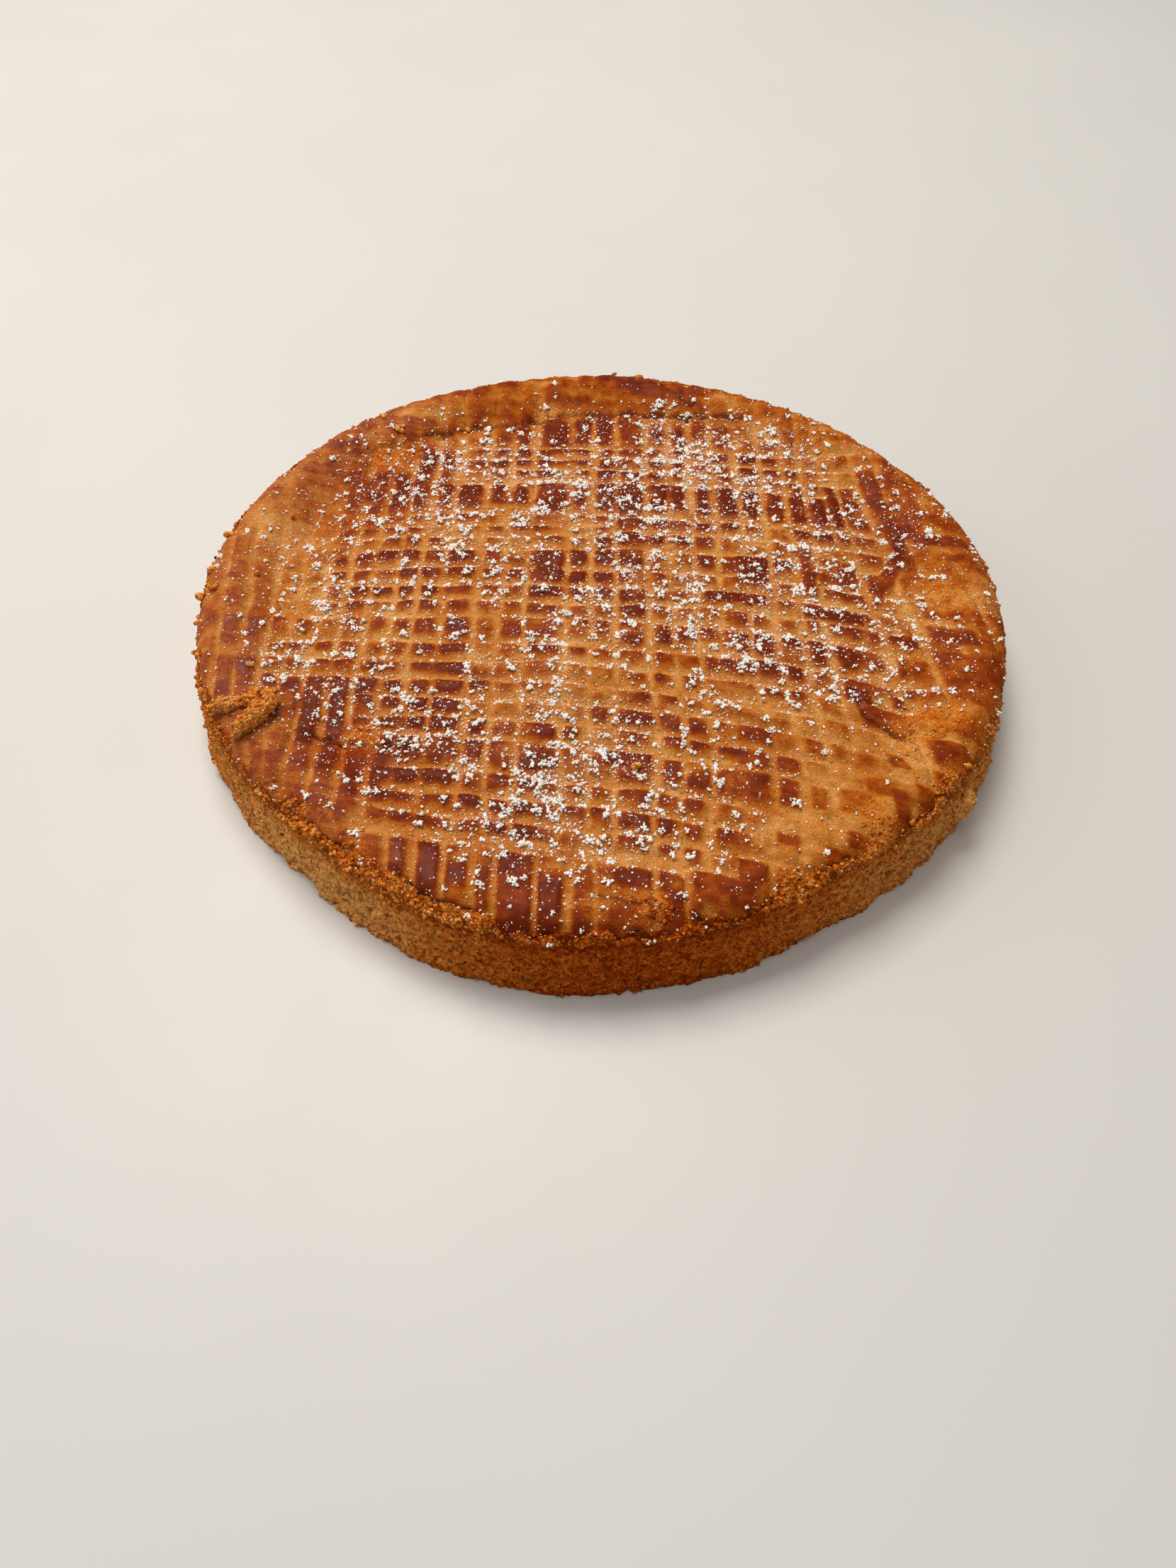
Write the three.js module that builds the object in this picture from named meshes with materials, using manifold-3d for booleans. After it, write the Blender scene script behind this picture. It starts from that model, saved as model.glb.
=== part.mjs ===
// A gateau basque: a low round cake of golden pastry. Its top is scored both ways with a fork, has sunk
// inside a raised rim, and rounds over a shoulder to a crumbly wall. A strip of crust is torn up at the left.
// Millimetres, +Z up, with the origin in the middle of the base, +Y to the back and -Y to the front.
import * as THREE from "three";
import { mergeVertices } from "three/addons/utils/BufferGeometryUtils.js";
import Module from "manifold-3d";

// Driving dimensions of the whole
const WIDTH = 245; // left to right, at the base
const DEPTH = 229; // front to back, at the base
const RIM_HEIGHT = 28; // mean height of the rim's crest
const RIM_SLOPE = 1.2; // the crest is this much higher at the back and lower at the front
const MIDDLE_HEIGHT = 28; // height of the middle of the top
const MIDDLE_SHARE = 0.2; // the middle is level out to this share of the radius
const WALL_LEAN = 2.2; // the wall leans in by this much between the base and the shoulder
const SHOULDER = 9; // radius of the rounding between the wall and the crest

// The uneven outline: lobes of the baked edge, each with its count, its height and the angle of one crest
const LOBES = [
  { count: 3, height: 1.4, crest: 24 },
  { count: 4, height: 0.7, crest: -6 },
  { count: 5, height: 0.5, crest: -23 },
  { count: 6, height: 0.4, crest: 25 },
  { count: 9, height: 0.3, crest: 10 },
];

// The sunken ring inside the rim, by share of the radius: gentle on its inner side, steep on its outer side
const VALLEY_AT = 0.78;
const VALLEY_INNER = 0.26;
const VALLEY_OUTER = 0.075;
const VALLEY_SHALLOW = 0.5; // depth at its shallowest, at the front
const VALLEY_DEEP = 5; // depth at its deepest
const VALLEY_DEEP_ANGLE = 112; // where it is deepest, at the back

// Blisters and dents of the top: middle, reach and rise
const SWELLS = [
  { x: -10, y: -34, reach: 12, rise: 1.8 },
  { x: 84, y: -50, reach: 9, rise: -1.8 },
  { x: 86, y: 8, reach: 13, rise: -1.6 },
  { x: -70, y: -54, reach: 12, rise: -1.8 },
  { x: -88, y: 30, reach: 18, rise: -1.2 },
];

// The fork's passes: the place of the first tine's groove, the tines' spacing and how many of them marked.
// A pass without ends runs right across. Those along run front to back, and those across run left to right.
const SCORE_DEPTH = 1.5;
const PASSES_ALONG = [
  { first: -112, pitch: 7, tines: 2 },
  { first: -98, pitch: 7.2, tines: 4 },
  { first: -69, pitch: 7.3, tines: 4 },
  { first: -37.2, pitch: 7.4, tines: 3 },
  { first: -10.5, pitch: 7.3, tines: 3 },
  { first: 13.8, pitch: 7.1, tines: 3 },
  { first: 35.2, pitch: 7.2, tines: 1, from: -18 },
  { first: 43.8, pitch: 7.4, tines: 4 },
  { first: 80.5, pitch: 10.3, tines: 4 },
];
const PASSES_ACROSS = [
  { first: -91, pitch: 7.4, tines: 4, from: -58 },
  { first: -57, pitch: 6.9, tines: 3, from: -66 },
  { first: -36, pitch: 7.5, tines: 3, from: -97, to: 100 },
  { first: -10.5, pitch: 7, tines: 4, from: -97, to: 100 },
  { first: 19.6, pitch: 5.7, tines: 4, from: -80, to: 92 },
  { first: 51.7, pitch: 6.5, tines: 4, from: -48, to: 84 },
];

// How the strokes swing: those along lean near the edges and bend at the right front, and those across tilt
// and droop towards the front
const LEAN_RIGHT = { slope: -0.24, from: 55, to: 115 };
const LEAN_LEFT = { slope: -0.09, from: -80, to: -112 };
const SWING = { from: 57, to: -92 }; // the tilt and the droop grow between these places
const TILT = -0.12;
const DROOP_BACK = 0.0006; // droop of the right half, for each millimetre squared
const DROOP_FRONT = 0.0016;
const BEND = { sideways: 3, from: 0, to: 25, across: -55, reach: 20 };
const CROSSING_ROUNDS = 4; // rounds of the search for where two strokes cross

// Patches that the fork hardly touched: the back of the rim, the left shoulder and the right shoulder
const UNSCORED = [
  { x: 10, y: 101, reach: 18 },
  { x: -40, y: 93, reach: 15 },
  { x: -92, y: 45, reach: 24 },
  { x: 104, y: 40, reach: 14 },
  { x: 106, y: -30, reach: 11 },
  { x: 31, y: -93, reach: 9 },
];

// The torn strip's two ridges and the chunk that juts from the wall: middle, half sizes and turns in degrees
const LUMPS = [
  { at: [-97.5, -44.8, 28.2], half: [10, 1.7, 2.1], turn: 16, dip: -5 },
  { at: [-93.4, -50.8, 28.2], half: [8.2, 2.7, 2.9], turn: 49, dip: -8 },
  { at: [100.7, -62.2, 10.5], half: [3.7, 3.5, 6.7], turn: -32, dip: 0 },
];
const LUMP_SIDES = 14;
const LUMP_RINGS = 9;
const LUMP_ROUGHNESS = 0.14;

// Mesh fineness
const GRID_STEP = 4.6; // widest gap between grid lines of the scored top
const OUTLINE_STEPS = 96;
const SHOULDER_STEPS = 4;
const SLAB_FLOOR = -5; // the scored slab reaches below the base, where the moulded form trims it
const SLAB_MARGIN = 12; // and past the wall
const LIP = 4; // the moulded form closes this far above the crest and inside it
const WELD = 1e-4;

const radians = THREE.MathUtils.degToRad;
const { lerp, smoothstep, clamp } = THREE.MathUtils;

// The whole numbers from 0 up to a count.
function upTo(count) {
  return [...Array(count).keys()];
}

// A rounded hill of height 1 round its middle.
function hill({ x, y, reach }, px, py) {
  return Math.exp(-((px - x) ** 2 + (py - y) ** 2) / reach ** 2);
}

// How far a value has gone from one end of a range to the other, eased.
function eased(value, { from, to }) {
  return smoothstep(clamp((value - from) / (to - from), 0, 1), 0, 1);
}

// Radius of the base in the direction of an angle.
function outline(angle) {
  const oval = 1 / Math.hypot(Math.cos(angle) / (WIDTH / 2), Math.sin(angle) / (DEPTH / 2));
  const lobe = ({ count, height, crest }) => height * Math.cos(count * (angle - radians(crest)));
  return LOBES.reduce((radius, each) => radius + lobe(each), oval);
}

function crestHeight(angle) {
  return RIM_HEIGHT + RIM_SLOPE * Math.sin(angle);
}

// Depth of the sunken ring at an angle and a share of the radius.
function valley(angle, share) {
  const around = 0.5 + 0.5 * Math.cos(angle - radians(VALLEY_DEEP_ANGLE));
  const width = share < VALLEY_AT ? VALLEY_INNER : VALLEY_OUTER;
  return lerp(VALLEY_SHALLOW, VALLEY_DEEP, around) * Math.exp(-(((share - VALLEY_AT) / width) ** 2));
}

// Height of the top before it is scored. Past the crest it runs on level, above the shoulder.
function bareTop(x, y) {
  const angle = Math.atan2(y, x);
  const radius = outline(angle);
  const share = Math.hypot(x, y) / radius;
  const rim = (radius - WALL_LEAN - SHOULDER) / radius;
  const level = lerp(MIDDLE_HEIGHT, crestHeight(angle), smoothstep(share, MIDDLE_SHARE, rim));
  return SWELLS.reduce((z, swell) => z + swell.rise * hill(swell, x, y), level - valley(angle, share));
}

// All the grooves of one set of passes, each with its place and its ends, in order of place.
function groovesOf(passes) {
  const grooves = passes.flatMap(({ first, pitch, tines, from = -Infinity, to = Infinity }) =>
    upTo(tines).map((tine) => ({ place: first + tine * pitch, from, to })),
  );
  return grooves.sort((a, b) => a.place - b.place);
}

// The point where the stroke along at one place meets the stroke across at another.
function crossing(along, across) {
  const lean = LEAN_RIGHT.slope * eased(along, LEAN_RIGHT) + LEAN_LEFT.slope * eased(along, LEAN_LEFT);
  const swing = eased(across, SWING);
  const droop = lerp(DROOP_BACK, DROOP_FRONT, swing);
  const bend = BEND.sideways * eased(along, BEND) * Math.exp(-(((across - BEND.across) / BEND.reach) ** 2));
  let [x, y] = [along, across];
  for (let round = 0; round < CROSSING_ROUNDS; round++) {
    x = along + lean * y + bend;
    y = across + TILT * swing ** 2 * x - droop * Math.max(x, 0) ** 2;
  }
  return { x, y };
}

// Grid lines that pass through every groove, with others between them so that no gap is wide.
function gridLines(grooves, reach) {
  const marks = [{ place: -reach }, ...grooves, { place: reach }];
  const lines = marks.slice(0, -1).flatMap((mark, i) => {
    const gap = marks[i + 1].place - mark.place;
    const steps = Math.max(2, Math.ceil(gap / GRID_STEP));
    return upTo(steps).map((step) => (step === 0 ? mark : { place: mark.place + (gap * step) / steps }));
  });
  return [...lines, marks.at(-1)];
}

// How deep the fork went at a point: nothing in the patches that it hardly touched.
function scoreDepth(x, y) {
  return UNSCORED.reduce((depth, patch) => depth * (1 - hill(patch, x, y)), SCORE_DEPTH);
}

// A slab whose upper face is the scored top.
function scoredSlab() {
  const columns = gridLines(groovesOf(PASSES_ALONG), WIDTH / 2 + SLAB_MARGIN);
  const rows = gridLines(groovesOf(PASSES_ACROSS), DEPTH / 2 + 2 * SLAB_MARGIN);
  const slab = new THREE.BoxGeometry(1, 1, 1, columns.length - 1, rows.length - 1, 1);
  const points = slab.getAttribute("position");
  for (let i = 0; i < points.count; i++) {
    const column = columns[Math.round((points.getX(i) + 0.5) * (columns.length - 1))];
    const row = rows[Math.round((points.getY(i) + 0.5) * (rows.length - 1))];
    const { x, y } = crossing(column.place, row.place);
    const marked = (column.from <= y && y <= column.to) || (row.from <= x && x <= row.to);
    const top = bareTop(x, y) - (marked ? scoreDepth(x, y) : 0);
    points.setXYZ(i, x, y, points.getZ(i) > 0 ? top : SLAB_FLOOR);
  }
  return slab;
}

// Rings of the moulded form above its base: how far each stands inside the base's outline, and how far under
// the crest. The last ring closes the form above the scored top.
function mouldedRings() {
  const turns = upTo(SHOULDER_STEPS + 1).map((step) => (step / SHOULDER_STEPS) * (Math.PI / 2));
  const shoulder = turns.map((turn) => ({
    inset: WALL_LEAN + SHOULDER * (1 - Math.cos(turn)),
    drop: SHOULDER * (1 - Math.sin(turn)),
  }));
  return [...shoulder, { inset: WALL_LEAN + SHOULDER + LIP, drop: -LIP }];
}

// The moulded form: a flat base, the leaning wall and the rounded shoulder, turned and then made uneven.
function mouldedForm() {
  const rings = mouldedRings();
  const marks = rings.map((ring, i) => new THREE.Vector2(1, i + 1));
  const [start, edge, end] = [[0, 0], [1, 0], [0, rings.length]].map((point) => new THREE.Vector2(...point));
  const form = new THREE.LatheGeometry([start, edge, ...marks, end], OUTLINE_STEPS).rotateX(Math.PI / 2);
  const points = form.getAttribute("position");
  for (let i = 0; i < points.count; i++) {
    const share = Math.hypot(points.getX(i), points.getY(i));
    const angle = Math.atan2(points.getY(i), points.getX(i));
    const ring = rings[Math.round(points.getZ(i)) - 1];
    const radius = share * (outline(angle) - (ring ? ring.inset : 0));
    const crest = share > 0 ? crestHeight(angle) : RIM_HEIGHT;
    points.setXYZ(i, radius * Math.cos(angle), radius * Math.sin(angle), ring ? crest - ring.drop : 0);
  }
  return form;
}

// A rough lump of torn crust.
function lump({ at, half, turn, dip }) {
  const ball = new THREE.SphereGeometry(1, LUMP_SIDES, LUMP_RINGS);
  const points = ball.getAttribute("position");
  for (let i = 0; i < points.count; i++) {
    const [x, y, z] = [points.getX(i), points.getY(i), points.getZ(i)];
    const rough = 1 + LUMP_ROUGHNESS * Math.sin(7 * x + 3 * z) * Math.cos(5 * y - 2 * z);
    points.setXYZ(i, half[0] * x * rough, half[1] * y * rough, half[2] * z * rough);
  }
  return ball.rotateY(radians(dip)).rotateZ(radians(turn)).translate(...at);
}

const wasm = await Module();
wasm.setup();

// A closed geometry as a solid that can be joined and cut.
function solid(geometry) {
  geometry.deleteAttribute("normal");
  geometry.deleteAttribute("uv");
  const merged = mergeVertices(geometry, WELD);
  const vertProperties = new Float32Array(merged.getAttribute("position").array);
  const triVerts = new Uint32Array(merged.index.array);
  return new wasm.Manifold(new wasm.Mesh({ numProp: 3, vertProperties, triVerts }));
}

// A solid's surface as a geometry, with the middle of its base at the origin.
function geometryOf(manifold) {
  const { vertProperties, triVerts } = manifold.getMesh();
  const geometry = new THREE.BufferGeometry();
  geometry.setAttribute("position", new THREE.BufferAttribute(vertProperties, 3));
  geometry.setIndex(new THREE.BufferAttribute(triVerts, 1));
  geometry.computeVertexNormals();
  geometry.computeBoundingBox();
  const middle = geometry.boundingBox.getCenter(new THREE.Vector3());
  return geometry.translate(-middle.x, -middle.y, 0);
}

// The cake: the moulded form under the scored top, with the torn lumps joined on.
const scored = solid(mouldedForm()).intersect(solid(scoredSlab()));
const whole = LUMPS.reduce((body, each) => body.add(solid(lump(each))), scored);
const pastry = new THREE.MeshStandardMaterial({ color: 0xb56a2c, roughness: 0.6, metalness: 0 });
const cake = new THREE.Mesh(geometryOf(whole), pastry);
cake.name = "cake";

const gateau = new THREE.Group();
gateau.add(cake);
export default gateau;
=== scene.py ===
import itertools
import math
from collections import namedtuple

import bmesh
import bpy
import numpy as np
from mathutils import Matrix, Vector


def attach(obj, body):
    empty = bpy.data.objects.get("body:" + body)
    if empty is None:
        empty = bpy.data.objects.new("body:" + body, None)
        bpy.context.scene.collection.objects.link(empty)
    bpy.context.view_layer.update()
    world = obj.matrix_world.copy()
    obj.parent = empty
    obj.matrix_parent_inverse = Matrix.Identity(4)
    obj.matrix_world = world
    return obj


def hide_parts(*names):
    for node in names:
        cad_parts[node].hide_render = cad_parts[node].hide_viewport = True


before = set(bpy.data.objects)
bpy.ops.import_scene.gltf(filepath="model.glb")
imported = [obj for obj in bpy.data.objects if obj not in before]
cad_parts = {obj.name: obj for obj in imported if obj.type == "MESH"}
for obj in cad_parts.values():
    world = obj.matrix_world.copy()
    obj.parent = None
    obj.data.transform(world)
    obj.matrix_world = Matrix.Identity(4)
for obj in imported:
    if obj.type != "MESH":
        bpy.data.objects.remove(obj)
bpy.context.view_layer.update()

MM = 0.001
FAR = 1000.0

# The whole form, with the same sizes as the solid that it dresses
WIDTH = 245.0
DEPTH = 229.0
RIM_HEIGHT = 28.0
RIM_SLOPE = 1.2
MIDDLE_HEIGHT = 28.0
MIDDLE_SHARE = 0.2
WALL_LEAN = 2.2
SHOULDER = 9.0

# A wave of the baked edge: how many times it rises, how high, and the angle of one crest
Lobe = namedtuple("Lobe", "count height crest")

# A stretch of the edge: the direction that it faces, its reach in degrees and how much it does
Side = namedtuple("Side", "degrees reach amount")

# A round patch of the top: its middle, its reach and how much it does
Spot = namedtuple("Spot", "x y reach amount", defaults=[1.0])

# One pull of the fork: its first groove, their spacing and number, and where they start and end
Pass = namedtuple("Pass", "first pitch tines start end", defaults=[-FAR, FAR])

# A glazed patch that the fork left whole, between two places along each set of strokes
Island = namedtuple("Island", "left right front back amount", defaults=[1.0])

# A crack or crease: the points that it runs through, its half width, its depth and how dark it is, which is
# painted shade in a crack or crease and the wash's own brown in a smear
Line = namedtuple("Line", "points half depth dark")

# A lump of torn crumb: its middle, its half sizes and its turn and dip in degrees
Lump = namedtuple("Lump", "at half turn dip")

# One layer of noise: its height, the size of its lumps, its seed and its stretch along each axis
Layer = namedtuple("Layer", "height size seed stretch", defaults=[(1,)])


def rows(kind, *values):
    """Many of one kind from rows of their values."""
    return tuple(kind(*row) for row in values)


LOBES = rows(Lobe, (3, 1.4, 24), (4, 0.7, -6), (5, 0.5, -23), (6, 0.4, 25), (9, 0.3, 10))

# The sunken ring inside the rim, by share of the radius
VALLEY_AT = 0.78
VALLEY_INNER = 0.26
VALLEY_OUTER = 0.075
VALLEY_SHALLOW = 0.5
VALLEY_DEEP = 5.0
VALLEY_DEEP_ANGLE = 112.0

# Blisters and dents of the top
SWELLS = rows(
    Spot,
    (-10, -34, 12, 1.8), (84, -50, 9, -1.8), (86, 8, 13, -1.6), (-70, -54, 12, -1.8),
    (-88, 30, 18, -1.2),
)

# The fork's passes, those along from front to back and those across from left to right
SCORE_DEPTH = 1.5
PASSES_ALONG = rows(
    Pass,
    (-112, 7, 2), (-98, 7.2, 4), (-69, 7.3, 4), (-37.2, 7.4, 3), (-10.5, 7.3, 3), (13.8, 7.1, 3),
    (35.2, 7.2, 1, -18), (43.8, 7.4, 4), (74.4, 7, 1, 26), (80.5, 10.3, 4),
)
PASSES_ACROSS = rows(
    Pass,
    (-91, 7.4, 4, -58), (-57, 6.9, 3, -66), (-36, 7.5, 3, -97, 100), (-10.5, 7, 4, -97, 100),
    (19.3, 5.5, 4, -80, 2), (20, 7.3, 3, 2, 92), (51.7, 6.5, 4, -48, 84),
)
LEAN_RIGHT, LEAN_RIGHT_FROM = -0.24, (55, 115)
LEAN_LEFT, LEAN_LEFT_FROM = -0.09, (-80, -112)
SWING_FROM = (57, -92)  # the tilt and the droop grow between these places
TILT = -0.12
DROOP_BACK = 0.0006
DROOP_FRONT = 0.0016
CROSSING_ROUNDS = 8
BEND = 3.0  # the strokes along swing to the right by this at the right front
BEND_ALONG = (0, 25)
BEND_ACROSS, BEND_REACH = -55, 20
ALONG_HALF, ACROSS_HALF = 1.7, 2.3  # half widths of the grooves
ALONG_WIDER = 0.3  # the grooves along are wider by this share at the back
ALONG_WIDER_FROM = (25, 42)
ALONG_DEPTH = 0.8  # depth of the grooves along as a share of those across
ALONG_FIRMNESS = (0.92, 0.6)  # mean strength of a stroke and how much it varies
ACROSS_FIRMNESS = (0.95, 0.35)
FIRMNESS_LENGTH = 10
FIRMNESS_SEED, ALONG_SEED, ACROSS_SEED = 200, 31, 331
STROKE_WANDER = (Layer(0.5, 16, 0), Layer(0.3, 5, 50))
STROKE_WIDTH = (Layer(0.4, 11, 100),)
STROKE_FADE = 3.0  # a groove that starts or ends on the top does so over this length
ACROSS_SKEW = 0.3  # the strokes across leave the wider slope behind them
GROOVE_FLOOR, GROOVE_EDGE = 0.05, 1.3  # shares of the half width where the floor and the slope end

# The strokes at the front are a press of their own over the rim, past a wide gutter. The press fades out
# between these places, and its strokes have a place and a half width.
FRONT_LEFT, FRONT_RIGHT, FRONT_EDGE = (-67, -61), (21, 25), (-95, -91)
FRONT_STROKES = (
    (-61.5, 1.6), (-54, 1.9), (-46.5, 2.7), (-39, 1.6), (-31.5, 2.0), (-25.8, 1.7), (-15.3, 1.3), (-7, 2.4),
    (-0.8, 1.4), (15, 1.5), (22.5, 1.6),
)
FRONT_WANDER = (Layer(0.5, 9, 300),)
FRONT_FLOOR = 0.15
GUTTER_AT = -90.5
GUTTER_HALF = 4.2
GUTTER_FLOOR = 0.3

# Patches that the fork hardly touched
UNSCORED = rows(Spot, (10, 101, 18), (-40, 93, 15), (-92, 45, 24), (104, 40, 14))
UNSCORED_SHARE = 0.92

# Glazed patches that the fork left whole
ISLAND_FADE = 0.7
ISLAND_RAGGED = 0.45
ISLANDS = rows(
    Island,
    (5, 12.5, 36, 49), (-20, -12.5, 36, 48), (-20, -12, 7, 17.5), (41, 50, 8.8, 19),
    (30.5, 49, -1, 3.5), (4.5, 27.5, 29.8, 33, 0.8), (5, 18, 21.8, 26, 0.7), (-22, -13, -9, -6, 0.8),
    (-22, -13, -18, -11, 0.7), (1.7, 12.5, -63, -58), (-45, -38.8, 82, 86, 0.7),
    (-34.2, -29.8, 83, 87, 0.75), (-28.4, -24.2, 84, 88, 0.65),
    # the right
    (61.5, 65.2, 38, 55, 0.75), (75.3, 80, 40, 56.5, 0.7), (81.6, 87.6, 37.7, 54, 0.7),
    (92, 97.6, 48, 62, 0.75), (101, 110.5, 44.6, 62, 0.55), (94, 105, 33.8, 44.7, 0.8),
    (103, 119, 31, 35.6, 0.8), (99, 116, 25, 28.3, 0.55), (60.8, 64.5, 6, 24.3, 0.8),
    (67, 79, 18.4, 22, 0.7), (66, 77, 12, 15.6, 0.75), (60, 76.7, -2.8, 1, 0.9), (95, 106, 4, 7, 0.7),
    (94, 106, -5, 0.5, 0.8), (86.3, 89.5, -5.6, -0.6, 0.65), (85, 87.5, -18, -14.2, 0.7),
    (92, 104.5, -23.5, -7.6, 0.65),
    # the right front
    (67.2, 73.6, -30, -25, 0.9), (69.5, 80.5, -36, -30, 0.85), (78.2, 81, -28.2, -25, 0.85),
    (84.8, 95, -33.4, -27, 0.8), (82, 91, -43, -35.2, 0.8), (81, 86.7, -50.7, -45, 0.8),
    (76, 83, -57.5, -50, 0.6), (71, 74.5, -64, -53.5, 0.8), (66, 75, -56.5, -52, 0.5),
    (72.8, 76.3, -47, -42.7, 0.7), (65.5, 69.8, -48.4, -44.8, 0.45), (60.5, 63.5, -48, -43.5, 0.7),
    (53.6, 58.2, -48.6, -44.3, 0.7), (35.4, 44.2, -48.6, -44, 0.75), (44.7, 51, -55.5, -51.4, 0.75),
    (34.6, 42.6, -55.9, -51.8, 0.7), (60, 67.4, -64.6, -56.7, 0.55), (53.2, 57.4, -65.5, -58.2, 0.6),
    (45.3, 50, -66.4, -58.2, 0.8), (34.6, 41.4, -66.7, -58.6, 0.7), (61.8, 68.6, -73.8, -68.8, 0.75),
    (45, 50.7, -78.2, -74.6, 0.75), (57, 68, -82.7, -75, 0.6), (48, 52.8, -94.4, -85, 0.75),
    (35.3, 43, -98.3, -85.2, 0.75), (24, 36, -100, -91, 0.75),
)

# A dark smear of egg wash across the strokes at the right, in the strokes' own places
SMEAR = Line(((83.5, 11), (91, 21), (97.5, 30)), 2.7, 0.0, 0.85)

# Cracks and creases, each with painted shade in it
LINES = rows(
    Line,
    (((-82, -52), (-66, -56), (-50, -58)), 0.7, 0.9, 0.9),
    (((17.5, 103), (24, 98), (30, 92)), 0.5, 0.6, 0.8),
    (((0, -103), (8, -105), (15, -105.5)), 0.5, 0.7, 0.8),
    (((24, -107.5), (35, -110), (46, -111)), 0.6, 0.8, 0.9),
    (((71, -35), (73, -44), (84, -51)), 0.6, 0.7, 0.8),
    (((96, 34), (91, 26), (95, 18)), 0.6, 0.5, 0.6),
    (((-60, 76), (-45, 81), (-20, 86), (-12, 89.5), (6, 90), (24, 89), (50, 86)), 0.8, 0.9, 0.85),
    (((-84, 62), (-70, 70), (-58, 76)), 0.8, 0.5, 0.4),
)

# The torn strip's two ridges and the crumb that joins them, and the chunk that juts from the wall
LUMPS = rows(
    Lump,
    ((-97.5, -44.8, 28.3), (10, 1.5, 1.9), 16, -5),
    ((-93.6, -51, 28.3), (8.6, 2.7, 2.8), 49, -8),
    ((-91.8, -46.6, 28.4), (4.4, 2.2, 2.0), 30, 0),
    ((100.5, -62, 10.5), (3.2, 3.2, 6.5), -32, 0),
)

# Mesh fineness
CRUST_RINGS = 165
WALL_COLUMNS = 1500
WALL_ROWS = 56

# Rings of the crust's underside: inset and drop from its lip
CRUST_UNDER = ((1.0, 0.2), (4.0, 1.5), (12.0, 5.0))


def eased(value, start, end):
    """How far a value has gone from start to end, eased at both."""
    share = np.clip((value - start) / (end - start), 0, 1)
    return share * share * (3 - 2 * share)


def mixed(low, high, share):
    return low + (high - low) * share


def hill(spot, x, y):
    """A rounded hill of height 1 round a spot."""
    return np.exp(-((x - spot.x) ** 2 + (y - spot.y) ** 2) / spot.reach**2)


def hills(spots, x, y):
    return sum(spot.amount * hill(spot, x, y) for spot in spots)


# Noise

PRIMES = tuple(np.uint64(prime) for prime in (0x9E3779B97F4A7C15, 0xC2B2AE3D27D4EB4F, 0x165667B19E3779F9))
STIR = np.uint64(0xD6E8FEB86659FD93)


def hashed(cells, seed):
    """A repeatable number from 0 to 1 for each row of whole numbers."""
    stirred = np.full(len(cells), seed, np.uint64) * STIR
    for column, prime in zip(cells.T, PRIMES):
        stirred = (stirred ^ (column.astype(np.uint64) * prime)) * STIR
        stirred ^= stirred >> np.uint64(31)
    return (stirred >> np.uint64(40)) / 2.0**24


def noise(points, size, seed):
    """Smooth noise from -1 to 1 whose lumps have this size."""
    scaled = points / size
    corner = np.floor(scaled)
    part = scaled - corner
    part = part * part * (3 - 2 * part)
    corner = corner.astype(np.int64)
    total = np.zeros(len(points))
    for step in itertools.product((0, 1), repeat=points.shape[1]):
        weight = np.where(step, part, 1 - part).prod(axis=1)
        total += weight * hashed(corner + step, seed)
    return 2 * total - 1


def fractal(points, size, seed, octaves=3):
    """Noise with finer noise on it, each octave half the size and half the height of the one before."""
    layers = [noise(points, size / 2**octave, seed + octave) / 2**octave for octave in range(octaves)]
    return sum(layers)


def layered(points, layers, seed=0):
    """Layers of noise on one another, with a seed added to each layer's own."""
    heights = [each.height * noise(points / each.stretch, each.size, each.seed + seed) for each in layers]
    return sum(heights)


def grains(points, size, seed):
    """Rounded grains about a size apart: 1 on a grain's top and 0 in the gaps between grains."""
    scaled = points / size
    home = np.floor(scaled).astype(np.int64)
    nearest = np.full(len(points), FAR)
    for step in itertools.product((-1, 0, 1), repeat=points.shape[1]):
        cell = home + step
        centre = cell + np.stack([hashed(cell, seed + axis) for axis in range(points.shape[1])], axis=1)
        nearest = np.minimum(nearest, ((scaled - centre) ** 2).sum(axis=1))
    return np.sqrt(np.clip(1 - nearest / 0.8, 0, 1))


# The form

BOX_STEPS = 721  # points round the outline that its box is measured at
LIP_TURN = 70.0  # degrees of the shoulder that the crust covers
LIP_RAGGED = (Layer(5, 14, 11), Layer(5, 5, 12), Layer(3, 1.8, 13))


def heading(angle):
    """A step of length 1 in the plan towards each angle."""
    return np.stack([np.cos(angle), np.sin(angle)], axis=1)


def bearing(points):
    """The angle of each point round the middle of the cake."""
    return np.arctan2(points[:, 1], points[:, 0])


def outline(angle):
    """Radius of the base in the direction of an angle."""
    oval = 1 / np.hypot(np.cos(angle) / (WIDTH / 2), np.sin(angle) / (DEPTH / 2))
    waves = [lobe.height * np.cos(lobe.count * (angle - math.radians(lobe.crest))) for lobe in LOBES]
    return oval + sum(waves)


def outline_middle():
    """Middle of the outline's box, which the frame has at its origin."""
    angle = np.linspace(0, 2 * np.pi, BOX_STEPS)
    edge = outline(angle)[:, None] * heading(angle)
    return np.append((edge.max(axis=0) + edge.min(axis=0)) / 2, 0)


MIDDLE = outline_middle()


def crest_height(angle):
    return RIM_HEIGHT + RIM_SLOPE * np.sin(angle)


def valley(angle, share):
    """Depth of the sunken ring."""
    around = 0.5 + 0.5 * np.cos(angle - math.radians(VALLEY_DEEP_ANGLE))
    width = np.where(share < VALLEY_AT, VALLEY_INNER, VALLEY_OUTER)
    return mixed(VALLEY_SHALLOW, VALLEY_DEEP, around) * np.exp(-(((share - VALLEY_AT) / width) ** 2))


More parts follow.
